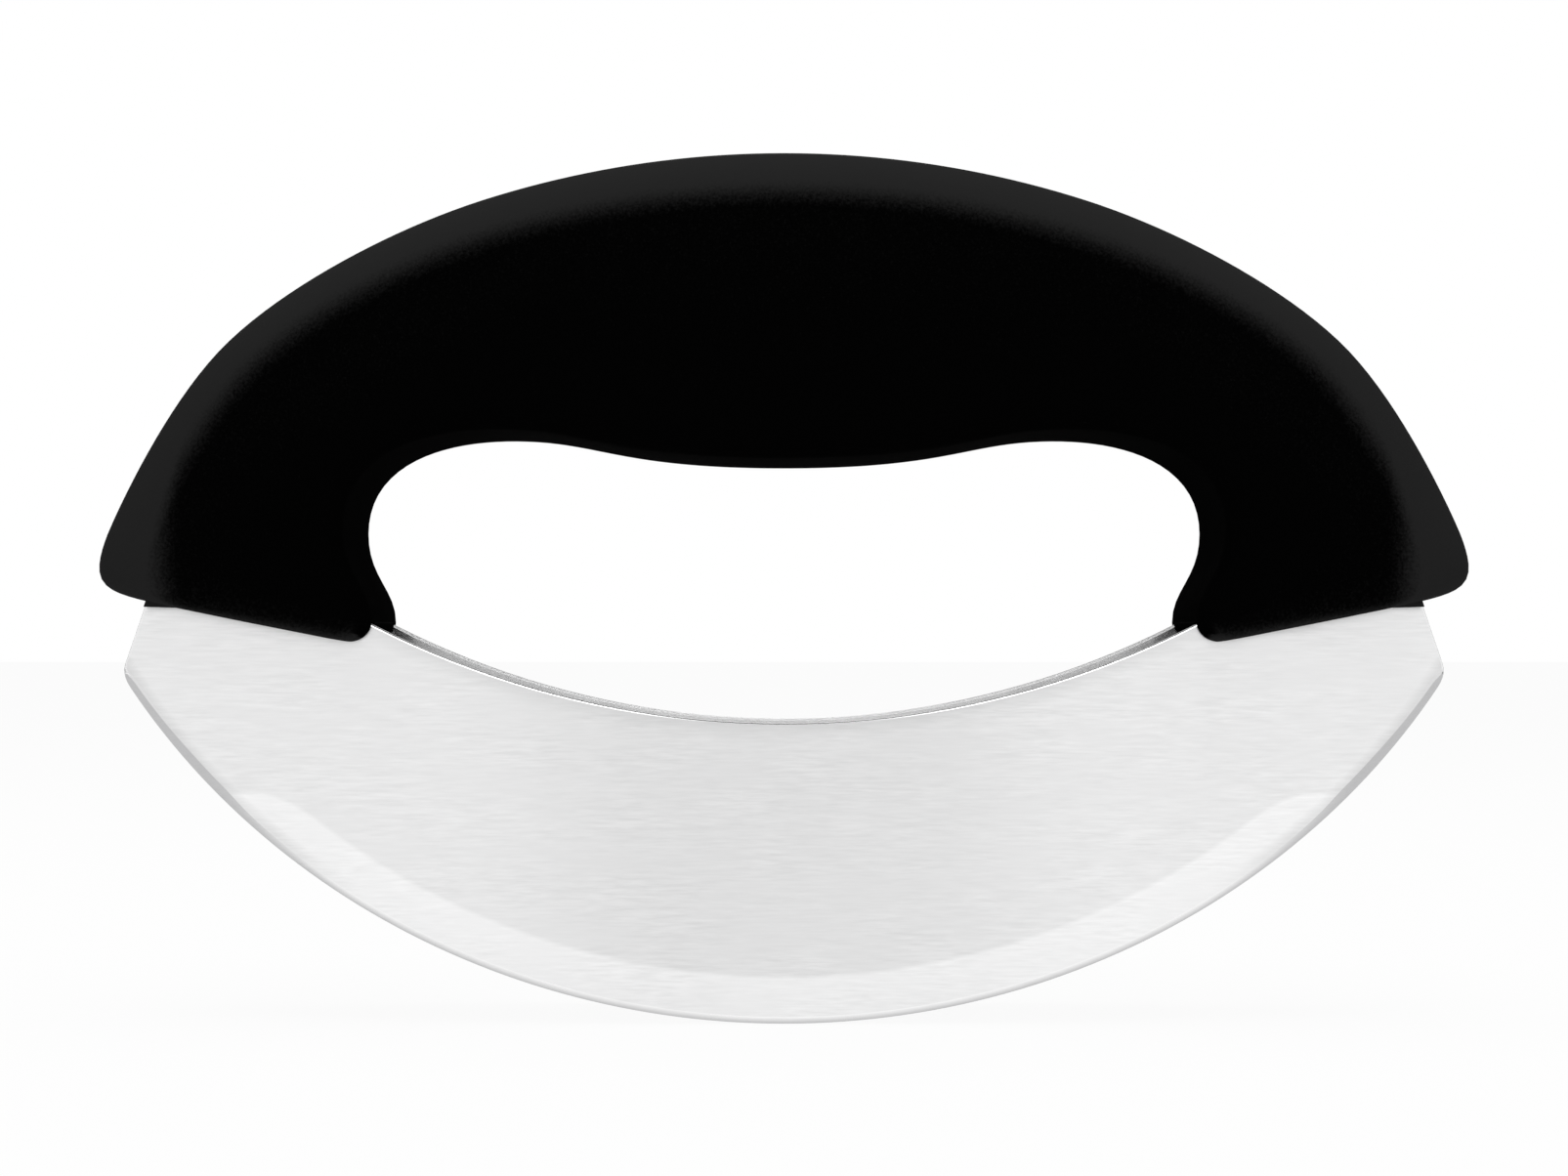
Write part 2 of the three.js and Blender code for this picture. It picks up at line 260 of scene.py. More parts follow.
class BladeSettings(bpy.types.PropertyGroup):
    """The finish of the two steel blades."""

    face_colour: bpy.props.FloatVectorProperty(
        name="Brushed steel",
        description="Colour of the brushed faces",
        default=(0.865, 0.865, 0.867),
        size=3,
        min=0.0,
        max=1.0,
        subtype="COLOR",
    )
    face_roughness: bpy.props.FloatProperty(
        name="Face roughness",
        description="Roughness of the outer brushed faces",
        default=0.34,
        min=0.1,
        max=0.9,
        subtype="FACTOR",
    )
    # Painted shade: the blade's middle is darker in colour, standing for how the light falls
    # there.
    painted_middle_brightness: bpy.props.FloatProperty(
        name="Middle shade",
        description="Painted shade on the blade's middle",
        default=0.915,
        min=0.0,
        max=1.0,
        subtype="FACTOR",
    )
    spine_shade: bpy.props.FloatProperty(
        name="Spine shade",
        description="Brightness of the brushed face right beside the spine",
        default=0.88,
        min=0.0,
        max=1.0,
        subtype="FACTOR",
    )
    ground_colour: bpy.props.FloatVectorProperty(
        name="Ground steel",
        description="Colour of the broad grind behind the cutting edge",
        default=(0.955, 0.955, 0.957),
        size=3,
        min=0.0,
        max=1.0,
        subtype="COLOR",
    )
    # Painted light: the faces between the blades are lighter in their middle than the outer
    # ones.
    painted_inner_light: bpy.props.FloatProperty(
        name="Painted inner light",
        description="Painted light on the middle of the faces between the blades",
        default=1.08,
        min=0.0,
        max=1.15,
    )
    inner_roughness: bpy.props.FloatProperty(
        name="Inner roughness",
        description="Roughness of the brushed faces between the blades",
        default=0.2,
        min=0.1,
        max=0.9,
        subtype="FACTOR",
    )
    # The honed bevel's colours are a painted highlight at its shoulder and painted shade at
    # the cutting edge and at the ends.
    painted_shoulder_highlight: bpy.props.FloatVectorProperty(
        name="Bevel's shoulder",
        description="Colour of the honed bevel where it rolls into the broad grind",
        default=(0.99, 0.99, 0.99),
        size=3,
        min=0.0,
        max=1.0,
        subtype="COLOR",
    )
    painted_edge_shade: bpy.props.FloatVectorProperty(
        name="Cutting edge",
        description="Colour of the honed bevel at the cutting edge and at the blade's ends",
        default=(0.54, 0.54, 0.545),
        size=3,
        min=0.0,
        max=1.0,
        subtype="COLOR",
    )
    bevel_roughness: bpy.props.FloatProperty(
        name="Bevel roughness",
        description="Roughness of the honed bevel",
        default=0.3,
        min=0.1,
        max=0.9,
        subtype="FACTOR",
    )
    rim_colour: bpy.props.FloatVectorProperty(
        name="Rim steel",
        description="Colour of the polished chamfers and ends",
        default=(0.86, 0.86, 0.862),
        size=3,
        min=0.0,
        max=1.0,
        subtype="COLOR",
    )
    # Painted shade: the polished rim is darker in the blade's middle, where its highlight
    # fades.
    painted_rim_middle_shade: bpy.props.FloatVectorProperty(
        name="Middle of the rim",
        description="Colour of the polished rim in the blade's middle",
        default=(0.3, 0.3, 0.302),
        size=3,
        min=0.0,
        max=1.0,
        subtype="COLOR",
    )
    rim_roughness: bpy.props.FloatProperty(
        name="Rim roughness",
        description="Roughness of the polished rim",
        default=0.14,
        min=0.1,
        max=0.9,
        subtype="FACTOR",
    )
    # Painted light: the rims between the blades are lighter in colour than the outer rims.
    painted_inner_rim_light: bpy.props.FloatVectorProperty(
        name="Inner rim",
        description="Painted light colour of the rims between the blades",
        default=(0.95, 0.95, 0.952),
        size=3,
        min=0.0,
        max=1.0,
        subtype="COLOR",
    )
    inner_rim_roughness: bpy.props.FloatProperty(
        name="Inner rim roughness",
        description="Roughness of the rims between the blades",
        default=0.5,
        min=0.1,
        max=0.9,
        subtype="FACTOR",
    )
    # The spine's flat top is a painted reflection: dark towards the ends and light in the
    # middle.
    painted_spine_dark: bpy.props.FloatVectorProperty(
        name="Spine top painted dark",
        description="Colour of the spine's flat top towards the ends, a painted dark reflection",
        default=(0.4, 0.4, 0.402),
        size=3,
        min=0.0,
        max=1.0,
        subtype="COLOR",
    )
    painted_spine_light: bpy.props.FloatVectorProperty(
        name="Middle of the spine",
        description="Colour of the spine's flat top in its middle, a painted light reflection",
        default=(0.9, 0.9, 0.902),
        size=3,
        min=0.0,
        max=1.0,
        subtype="COLOR",
    )
    spine_roughness: bpy.props.FloatProperty(
        name="Spine roughness",
        description="Roughness of the spine's flat top",
        default=0.4,
        min=0.1,
        max=0.9,
        subtype="FACTOR",
    )
    streak_length: bpy.props.FloatProperty(
        name="Streak length",
        description="Length of a brushing streak",
        default=4.2 * MM,
        min=0.5 * MM,
        max=100 * MM,
        unit="LENGTH",
    )
    streak_width: bpy.props.FloatProperty(
        name="Streak width",
        description="Width of a brushing streak",
        default=0.38 * MM,
        min=0.02 * MM,
        max=5 * MM,
        unit="LENGTH",
    )
    streak_contrast: bpy.props.FloatProperty(
        name="Streak contrast",
        description="How far the streaks lighten and darken the brushed faces",
        default=0.054,
        min=0.0,
        max=0.5,
        subtype="FACTOR",
    )


class StageSettings(bpy.types.PropertyGroup):
    """Camera, floor and light."""

    camera_distance: bpy.props.FloatProperty(
        name="Camera distance",
        description="Distance from the camera to the middle of the tool",
        default=309.25 * MM,
        min=50 * MM,
        max=10.0,
        unit="LENGTH",
    )
    camera_height: bpy.props.FloatProperty(
        name="Camera height",
        description="Height of the level camera above the floor",
        default=53.19 * MM,
        min=0.0,
        max=10.0,
        unit="LENGTH",
    )
    lens: bpy.props.FloatProperty(
        name="Lens",
        description="Focal length on a 36 mm wide sensor",
        default=50.47,
        min=10.0,
        max=300.0,
        subtype="DISTANCE_CAMERA",
    )
    rise: bpy.props.FloatProperty(
        name="Lens rise",
        description="Vertical shift of the lens, in picture widths",
        default=0.0299,
        min=-0.2,
        max=0.2,
    )
    floor_colour: bpy.props.FloatVectorProperty(
        name="Floor colour",
        description="Colour of the plain floor",
        default=(0.86, 0.86, 0.86),
        size=3,
        min=0.0,
        max=1.0,
        subtype="COLOR",
    )
    top_light: bpy.props.FloatProperty(
        name="Top light",
        description="Power of the softbox above the tool, in watts",
        default=3.0,
        min=0.0,
        max=1000.0,
    )
    front_dimming: bpy.props.FloatProperty(
        name="Front of the studio",
        description="Strength of the backdrop on the camera's side, as the steel mirrors it",
        default=0.94,
        min=0.0,
        max=1.0,
    )
    surround: bpy.props.FloatProperty(
        name="Surround",
        description="Strength of the even light from all round",
        default=0.6,
        min=0.0,
        max=5.0,
    )


def new_object(name, data):
    """A new object in the scene."""
    item = bpy.data.objects.new(name, data)
    bpy.context.scene.collection.objects.link(item)
    return item


def merged_copy(node, name):
    """Copies a CAD node's mesh, joins its loose triangles and opens it for editing."""
    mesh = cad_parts[node].data.copy()
    mesh.name = name
    mesh.materials.clear()
    shape = bmesh.new()
    shape.from_mesh(mesh)
    bmesh.ops.remove_doubles(shape, verts=shape.verts, dist=SAME_CORNER)
    flat = [edge for edge in shape.edges if edge.calc_face_angle(math.pi) < FLAT]
    bmesh.ops.dissolve_edges(shape, edges=flat, use_verts=False)
    shape.normal_update()
    return mesh, shape


def smooth_faces(shape, crease):
    """Shades all faces smooth and keeps each edge sharper than crease crisp."""
    for face in shape.faces:
        face.smooth = True
    for edge in shape.edges:
        edge.smooth = edge.calc_face_angle(0.0) < crease


def place_piece(mesh, shape, node):
    """Puts a finished mesh in the scene in place of its CAD node."""
    shape.to_mesh(mesh)
    shape.free()
    piece = new_object(mesh.name, mesh)
    even = piece.modifiers.new("even_normals", "WEIGHTED_NORMAL")
    even.mode = "FACE_AREA"
    even.keep_sharp = True
    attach(piece, "root")
    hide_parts(node)


class NodeSheet:
    """Adds and joins the nodes of one material, world or node group."""

    def __init__(self, tree):
        self.tree = tree

    def feed(self, socket, value):
        """Joins another node's output to a socket, or gives the socket a plain value."""
        if isinstance(value, bpy.types.NodeSocket):
            self.tree.links.new(value, socket)
        else:
            socket.default_value = value

    def fill(self, node, inputs):
        """Feeds several of a node's inputs, each known by its name or its number."""
        for key, value in inputs.items():
            self.feed(node.inputs[key], value)

    def add(self, kind, label, inputs=None, **values):
        """A new node with its own values set and its inputs fed."""
        node = self.tree.nodes.new(kind)
        node.label = label
        for key, value in values.items():
            setattr(node, key, value)
        self.fill(node, inputs or {})
        return node

    def math(self, operation, label, *inputs):
        """The output of a Math node."""
        node = self.add("ShaderNodeMath", label, dict(enumerate(inputs)), operation=operation)
        return node.outputs["Value"]

    def span(self, label, value, out_low, out_high, in_low=0.0, in_high=1.0, smooth=False):
        """Maps value from one range to another and clamps it."""
        inputs = {
            "Value": value,
            "From Min": in_low,
            "From Max": in_high,
            "To Min": out_low,
            "To Max": out_high,
        }
        change = "SMOOTHSTEP" if smooth else "LINEAR"
        node = self.add("ShaderNodeMapRange", label, inputs, interpolation_type=change)
        return node.outputs["Result"]

    def noise(self, label, place, scale, detail, roughness=0.5):
        """The strength of a noise pattern."""
        inputs = {"Vector": place, "Scale": scale, "Detail": detail, "Roughness": roughness}
        return self.add("ShaderNodeTexNoise", label, inputs).outputs["Fac"]


def clear_sheet(owner, output_kind):
    """The empty sheet of a material or a world, and the input that its surface feeds."""
    owner.use_nodes = True
    sheet = NodeSheet(owner.node_tree)
    sheet.tree.nodes.clear()
    return sheet, sheet.add(output_kind, "Output").inputs["Surface"]


def new_surface(name):
    """A material with its sheet and its shader, which feeds the output."""
    material = bpy.data.materials.new(name)
    sheet, surface = clear_sheet(material, "ShaderNodeOutputMaterial")
    shader = sheet.add("ShaderNodeBsdfPrincipled", "Surface")
    sheet.feed(surface, shader.outputs["BSDF"])
    return material, sheet, shader


def group_with(name, inputs, outputs):
    """A new node group with named sockets: its sheet, its inputs and its outputs."""
    tree = bpy.data.node_groups.new(name, "ShaderNodeTree")
    for label, kind, value in inputs:
        socket = tree.interface.new_socket(label, in_out="INPUT", socket_type=kind)
        if value is not None:
            socket.default_value = value
    for label, kind in outputs:
        tree.interface.new_socket(label, in_out="OUTPUT", socket_type=kind)
    sheet = NodeSheet(tree)
    entry = sheet.add("NodeGroupInput", "In")
    leave = sheet.add("NodeGroupOutput", "Out")
    return sheet, entry.outputs, leave.inputs


def brushing_group():
    """Fine straight streaks along X, as a belt leaves them on steel, in uneven patches."""
    found = bpy.data.node_groups.get("belt_brushing")
    if found:
        return found
    sheet, entry, leave = group_with(
        "belt_brushing",
        [
            ("Vector", "NodeSocketVector", None),
            ("Streak Length", "NodeSocketFloat", 4 * MM),
            ("Streak Width", "NodeSocketFloat", 0.4 * MM),
        ],
        [
            ("Streaks", "NodeSocketFloat"),
            ("Tone", "NodeSocketFloat"),
            ("Patches", "NodeSocketFloat"),
        ],
    )
    place = entry["Vector"]
    along = sheet.math("DIVIDE", "Streaks per metre along", 1.0, entry["Streak Length"])
    across = sheet.math("DIVIDE", "Streaks per metre across", 1.0, entry["Streak Width"])
    counts = {"X": along, "Y": across, "Z": across}
    stretch = sheet.add("ShaderNodeCombineXYZ", "Stretch", counts).outputs["Vector"]
    ends = {0: place, 1: stretch}
    scaled = sheet.add("ShaderNodeVectorMath", "Stretched place", ends, operation="MULTIPLY")
    streaks = sheet.noise(
        "Fine streaks", scaled.outputs["Vector"], scale=1.0, detail=2.0, roughness=0.6
    )
    lengthwise = sheet.add(
        "ShaderNodeMapping",
        "Patches lie along the blade",
        {"Vector": place, "Scale": (PATCH_STRETCH, 1.0, 1.0)},
        vector_type="POINT",
    )
    mottle = sheet.noise(
        "Patches", lengthwise.outputs["Vector"], scale=1 / PATCH_SIZE, detail=3.0
    )
    patches = sheet.span("Patch strength", mottle, 0.0, 1.0, *PATCH_BORDERS)
    depth = sheet.span("Streak depth", patches, *STREAK_DEPTHS)
    ridge = sheet.math("SUBTRACT", "Streak height", streaks, 0.5)
    streak = sheet.math("MULTIPLY", "Streak in its patch", ridge, depth)
    level = sheet.span("Patch level", patches, *PATCH_TONES)
    sheet.feed(leave["Streaks"], streaks)
    sheet.feed(leave["Tone"], sheet.math("ADD", "Tone", streak, level))
    sheet.feed(leave["Patches"], patches)
    return sheet.tree


def colour_mix(sheet, label, share, low, high):
    """Mixes two colours, each a plain one or another node's output, by a share."""
    low, high = (
        colour if isinstance(colour, bpy.types.NodeSocket) else (*colour, 1.0)
        for colour in (low, high)
    )
    inputs = {"Factor": share, "A": low, "B": high}
    return sheet.add("ShaderNodeMix", label, inputs, data_type="RGBA").outputs["Result"]


def scaled_by(sheet, colour, shade):
    """A colour made lighter or darker by a factor."""
    inputs = {"Vector": colour, "Scale": shade}
    scaled = sheet.add("ShaderNodeVectorMath", "Scaled colour", inputs, operation="SCALE")
    return scaled.outputs["Vector"]


def toned(sheet, colour, tone, contrast):
    """A colour made lighter and darker by the brushing's tone."""
    shade = sheet.span("Streak shade", tone, 1 - contrast, 1 + contrast)
    return scaled_by(sheet, colour, shade)


def towards_ends(sheet, place, label, fade):
    """0 nearer the tool's middle than the fade and 1 beyond it, with a soft change."""
    split = sheet.add("ShaderNodeSeparateXYZ", "Place along", {"Vector": place})
    either = sheet.math("ABSOLUTE", "Either end", split.outputs["X"])
    return sheet.span(label, either, 0.0, 1.0, *fade, smooth=True)


def reach_from(sheet, place, label, centre, scale):
    """Distance from a centre, after scaling each axis."""
    inputs = {0: place, 1: scale}
    flat = sheet.add("ShaderNodeVectorMath", "Seen flat", inputs, operation="MULTIPLY")
    inputs = {0: flat.outputs["Vector"], 1: centre}
    reach = sheet.add("ShaderNodeVectorMath", label, inputs, operation="DISTANCE")
    return reach.outputs["Value"]


def below_spine(sheet, place):
    """0 right beside the spine's arc and 1 a few millimetres below it."""
    reach = reach_from(sheet, place, "From the spine's centre", SPINE_CENTRE, SEEN_FLAT)
    end = SPINE_RADIUS + SPINE_SHADE_DEPTH
    return sheet.span("Below the spine", reach, 0.0, 1.0, SPINE_RADIUS, end)


def beside_bevel(sheet, place):
    """1 along the bevel's shoulder towards the blade's ends, and 0 a millimetre above."""
    scale = (1 / EDGE_AXES[0], 0.0, 1 / EDGE_AXES[1])
    share = reach_from(sheet, place, "Share of the ellipse", (0.0, 0.0, 1.0), scale)
    near = sheet.span("Near the bevel", share, 0.0, 1.0, FACE_SHARE, SHOULDER_SHARE)
    ends = towards_ends(sheet, place, "Past the grind", BEVEL_SHADE_FADE)
    return sheet.math("MULTIPLY", "Beside the bevel", near, ends)


def half_thickness(sheet, place):
    """Half the plate's thickness at a point of either blade's side."""
    split = sheet.add("ShaderNodeSeparateXYZ", "Place across", {"Vector": place})
    across = sheet.math("ABSOLUTE", "Either blade", split.outputs["Y"])
    inside = sheet.math("SUBTRACT", "From the plate's middle", across, BLADE_OFFSET)
    return sheet.math("ABSOLUTE", "Half thickness", inside)


def steel_sheet(name, settings, roughness, relief, spread=OUTER_SPREAD):
    """Steel with its brushing but no colour yet: material, sheet, shader, place, tone."""
    material, sheet, steel = new_surface(name)
    place = sheet.add("ShaderNodeTexCoord", "Place").outputs["Object"]
    inputs = {
        "Vector": place,
        "Streak Length": settings.streak_length,
        "Streak Width": settings.streak_width,
    }
    brushing = sheet.add("ShaderNodeGroup", "Brushing", inputs, node_tree=brushing_group())
    rough = sheet.span(
        "Uneven roughness",
        brushing.outputs["Patches"],
        roughness - SMOOTHER_PATCH,
        roughness + ROUGHER_PATCH,
    )
    inputs = {
        "Strength": relief,
        "Distance": STREAK_HEIGHT,
        "Height": brushing.outputs["Streaks"],
    }
    bump = sheet.add("ShaderNodeBump", "Streak relief", inputs)
    tangent = sheet.add("ShaderNodeTangent", "Brushing direction", direction_type="UV_MAP")
    tangent.uv_map = BRUSHING_MAP
    inputs = {
        "Roughness": rough,
        "Metallic": 1.0,
        "Anisotropic": spread,
        "Normal": bump.outputs["Normal"],
        "Tangent": tangent.outputs["Tangent"],
    }
    sheet.fill(steel, inputs)
    return material, sheet, steel, place, brushing.outputs["Tone"]


def brushed_steel(name, settings, painted_middle_brightness, spine_shade, roughness, spread):
    """The flat faces and the broad grind behind the cutting edge, with painted light and
    shade.
    """
    material, sheet, steel, place, tone = steel_sheet(
        name, settings, roughness, FACE_RELIEF, spread
    )
    half = half_thickness(sheet, place)
    flat = PLATE_THICKNESS / 2
    depths = (flat - GRIND_START, flat - GRIND_FULL)
    ground = sheet.span("Ground down", half, 0.0, 1.0, *depths)
    colour = colour_mix(sheet, "Grind", ground, settings.face_colour, settings.ground_colour)
    painted_middle_level = sheet.span("Middle of the face", ground, painted_middle_brightness, GRIND_MIDDLE_SHADE)
    ends = towards_ends(sheet, place, "Away from the middle", FACE_FADE)
    spine = below_spine(sheet, place)
    bevel = beside_bevel(sheet, place)
    foot = THICK_BEHIND_EDGE / 2
    # Painted shade: darker in the middle, beside the spine, beside the bevel at the ends and
    # at the grind's foot. A middle brightness above one paints light there instead.
    shade = sheet.span("Middle shade", ends, painted_middle_level, 1.0)
    for other in (
        sheet.span("Spine shade", spine, spine_shade, 1.0),
        sheet.span("Bevel shade", bevel, 1.0, CORNER_SHADE),
        sheet.span("Grind's foot", half, 1.0, GRIND_FOOT_SHADE, flat, foot),
    ):
        shade = sheet.math("MULTIPLY", "Shades together", shade, other)
    colour = scaled_by(sheet, colour, shade)
    colour = toned(sheet, colour, tone, settings.streak_contrast)
    sheet.feed(steel.inputs["Base Color"], colour)
    return material


def honed_steel(settings):
    """The cutting bevel: a painted highlight up its middle, painted shade at the edge and the
    ends.
    """
    material, sheet, steel, place, tone = steel_sheet(
        "honed_bevel", settings, settings.bevel_roughness, BEVEL_RELIEF
    )
    half = half_thickness(sheet, place)
    halves = (EDGE_LAND / 2, THICK_BEHIND_EDGE / 2)
    rolled = sheet.span("Up the bevel", half, 0.0, 1.0, *halves)
    ends = towards_ends(sheet, place, "Beyond the grind", SHOULDER_FADE)
    inner = sheet.math("SUBTRACT", "Along the grind", 1.0, ends)
    # The painted highlight of the shoulder, along the grind only.
    pale = sheet.math("MULTIPLY", "Painted shoulder highlight", rolled, inner)
    colour = colour_mix(sheet, "Honed", pale, settings.painted_edge_shade, settings.painted_shoulder_highlight)
    corner = towards_ends(sheet, place, "Corner", CORNER_FADE)
    reach = sheet.span("Honed up to here", corner, *HONED_HALVES)
    above = sheet.math("SUBTRACT", "Above the stone", half, reach)
    missed = sheet.span("Not honed", above, 0.0, 1.0, -HONED_BORDER, HONED_BORDER)
    # Above the stone the bevel takes the face's colour with its painted corner shade.
    bare = [CORNER_SHADE * part for part in settings.face_colour]
    colour = colour_mix(sheet, "Narrower at the corner", missed, colour, bare)
    colour = toned(sheet, colour, tone, BEVEL_CONTRAST)
    sheet.feed(steel.inputs["Base Color"], colour)
    return material


def rim_steel(name, settings, colour, middle, roughness):
    """The narrow faces round the plate; middle is the colour painted in the blade's middle.
    """
    material, sheet, steel, place, tone = steel_sheet(name, settings, roughness, RIM_RELIEF)
    ends = towards_ends(sheet, place, "Away from the middle", RIM_FADE)
    colour = colour_mix(sheet, "Rim colour", ends, middle, colour)
    colour = toned(sheet, colour, tone, RIM_CONTRAST)
    sheet.feed(steel.inputs["Base Color"], colour)
    return material


def moulded_plastic(settings):
    """Satin black plastic with its mould's fine pitted grain, and a painted sheen on its
    outside.
    """
    material, sheet, plastic = new_surface("black_moulding")
    place = sheet.add("ShaderNodeTexCoord", "Place").outputs["Object"]
    grain = sheet.noise(
        "Mould grain", place, scale=1 / settings.grain_size, detail=2.0, roughness=0.6
    )
    outward = sheet.add("ShaderNodeAttribute", "Outward", attribute_name=OUTWARD_MARK)
    peaks = sheet.math("SUBTRACT", "Grain peaks", grain, 0.5)
    peaks = sheet.math("MULTIPLY", "Peaks lift the painted sheen", peaks, PEAK_SHEEN)
    feet = towards_ends(sheet, place, "Feet", FOOT_FADE)
    feet_sheen = sheet.math("MULTIPLY", "Painted sheen at the feet", feet, FOOT_END_SHEEN)
    turned_out = sheet.math("ADD", "Turned outwards", outward.outputs["Fac"], feet_sheen)
    turned_out = sheet.math("ADD", "Turned out with the peaks", turned_out, peaks)
    # Painted sheen: the colour is lighter where the handle turns outwards, at the feet's ends
    # and on grain peaks, standing for light on its rounded outside.
    painted_sheen = sheet.span("Painted sheen", turned_out, 0.0, 1.0, *PAINTED_SHEEN_RANGE, smooth=True)
    colours = (settings.colour, settings.painted_sheen_colour)
    handled = sheet.noise("Handled patches", place, scale=1 / HANDLED_SIZE, detail=3.0)
    rough = sheet.span(
        "Worn satin",
        handled,
        settings.roughness - HANDLED_ROUGHNESS,
        settings.roughness + HANDLED_ROUGHNESS,
        *HANDLED_BORDERS,
    )
    inputs = {"Strength": 1.0, "Distance": settings.grain_depth, "Height": grain}
    bump = sheet.add("ShaderNodeBump", "Grain relief", inputs)
    inputs = {
        "Base Color": colour_mix(sheet, "Black with painted sheen", painted_sheen, *colours),
        "Roughness": rough,
        "Specular IOR Level": settings.shine,
        "Normal": bump.outputs["Normal"],
    }
    sheet.fill(plastic, inputs)
    return material


class MEZZALUNA_OT_handle(bpy.types.Operator):
    """Finishes the moulded bridge handle"""

    bl_idname = "mezzaluna.handle"
    bl_label = "Handle"

    def execute(self, context):
        mesh, shape = merged_copy("handle", "moulded_handle")
        mark_outside(shape)
        smooth_faces(shape, HANDLE_CREASE)
        mesh.materials.append(moulded_plastic(context.scene.mezzaluna_handle))
        place_piece(mesh, shape, "handle")
        return {"FINISHED"}


def mark_outside(shape):
    """Marks for the painted sheen how far each point turns from the hand hole, or down at the
    feet.
    """
    layer = shape.verts.layers.float.new(OUTWARD_MARK)
    for vert in shape.verts:
        away = (vert.co - HOLE_MIDDLE) * SEEN_FLAT
        turned = vert.normal.dot(away.normalized())
        if turned > HOLE_WALL and vert.co.z < HOLE_MIDDLE.z:
            turned = max(turned, -UNDERSIDE_SHEEN * vert.normal.z)
        vert[layer] = max(0.0, turned)


class MEZZALUNA_OT_blades(bpy.types.Operator):
    """Finishes the two curved blades"""

    bl_idname = "mezzaluna.blades"
    bl_label = "Blades"

    def execute(self, context):
        finishes = blade_finishes(context.scene.mezzaluna_blades)
        for node, name in (
            ("front_blade", "curved_blade_front"),
            ("rear_blade", "curved_blade_rear"),
        ):
            mesh, shape = merged_copy(node, name)
            round_spine(shape)
            smooth_faces(shape, BEVEL_CREASE)
            round_chamfers(shape)
            sort_faces(shape)
            lay_brushing(shape)
            for material in finishes:
                mesh.materials.append(material)
            place_piece(mesh, shape, node)
        return {"FINISHED"}


def blade_finishes(settings):
    """The blades' materials, in the order of the names from OUTSIDE to INNER_RIM."""
    outside = brushed_steel(
        "brushed_outside",
        settings,
        painted_middle_brightness=settings.painted_middle_brightness,
        spine_shade=settings.spine_shade,
        roughness=settings.face_roughness,
        spread=OUTER_SPREAD,
    )
    bevel = honed_steel(settings)
    rim = rim_steel(
        "polished_rim",
        settings,
        colour=settings.rim_colour,
        middle=settings.painted_rim_middle_shade,
        roughness=settings.rim_roughness,
    )
    spine_top = rim_steel(
        "spine_top_painted_reflection",
        settings,
        colour=settings.painted_spine_dark,
        middle=settings.painted_spine_light,
        roughness=settings.spine_roughness,
    )
    # Between the blades the middle is painted lighter, and no shade is painted beside the
    # spine.
    inside = brushed_steel(
        "brushed_inside",
        settings,
        painted_middle_brightness=settings.painted_inner_light,
        spine_shade=1.0,
        roughness=settings.inner_roughness,
        spread=INNER_SPREAD,
    )
    inner_rim = rim_steel(
        "ground_rim_painted_light",
        settings,
        colour=settings.painted_inner_rim_light,
        middle=settings.painted_inner_rim_light,
        roughness=settings.inner_rim_roughness,
    )
    return outside, bevel, rim, spine_top, inside, inner_rim


def round_spine(shape):
    """Rolls the spine's two chamfers into round edges, as polishing leaves them."""
    edges = []
    for edge in shape.edges:
        middle = (edge.verts[0].co + edge.verts[1].co) / 2
        across = (middle - SPINE_CENTRE) * SEEN_FLAT
        depth = across.length - SPINE_RADIUS
        sharp = CHAMFER_EDGES[0] < edge.calc_face_angle(0.0) < CHAMFER_EDGES[1]
        if sharp and depth < 2 * CHAMFER_WIDTH and abs(middle.x) < SPINE_HALF:
            edges.append(edge)
    bmesh.ops.bevel(
        shape,
        geom=edges,
        offset=SPINE_ROUNDING,
        offset_type="OFFSET",
        segments=2,
        profile=0.5,
        affect="EDGES",
        clamp_overlap=True,
        material=-1,
    )
    shape.normal_update()


def round_chamfers(shape):
    """Lets the narrow chamfers shade as the rounded rims that polishing makes of them."""
    for edge in shape.edges:
        flatness = [abs(face.normal.y) for face in edge.link_faces]
        if any(CHAMFER_FLATNESS < share < BEVEL_FLATNESS for share in flatness):
            edge.smooth = True


def sort_faces(shape):
    """Gives each face the finish of its place on the blade."""
    for face in shape.faces:
        flatness = abs(face.normal.y)
        between = face.normal.y * face.calc_center_median().y < 0
        if flatness > BRUSHED_FLATNESS:
            face.material_index = INSIDE if between else OUTSIDE
        elif flatness > BEVEL_FLATNESS and face.normal.z < 0:
            face.material_index = BEVEL
        elif flatness > CHAMFER_FLATNESS or face.normal.z < SPINE_RISE:
            face.material_index = INNER_RIM if between else RIM
        else:
            face.material_index = SPINE_TOP


def lay_brushing(shape):
    """A flat map seen from the front, turned so that highlights spread across the streaks."""
    layer = shape.loops.layers.uv.new(BRUSHING_MAP)
    for face in shape.faces:
        for loop in face.loops:
            spot = loop.vert.co
            loop[layer].uv = (spot.z + spot.y, -spot.x)


class MEZZALUNA_OT_stage(bpy.types.Operator):
    """Sets the floor, the lights and the camera"""

    bl_idname = "mezzaluna.stage"
    bl_label = "Stage"

    def execute(self, context):
        settings = context.scene.mezzaluna_stage
        lay_floor(settings)
        light_world(settings)
        hang_softbox(settings)
        set_camera(settings)
        context.scene.view_settings.view_transform = "Standard"
        return {"FINISHED"}


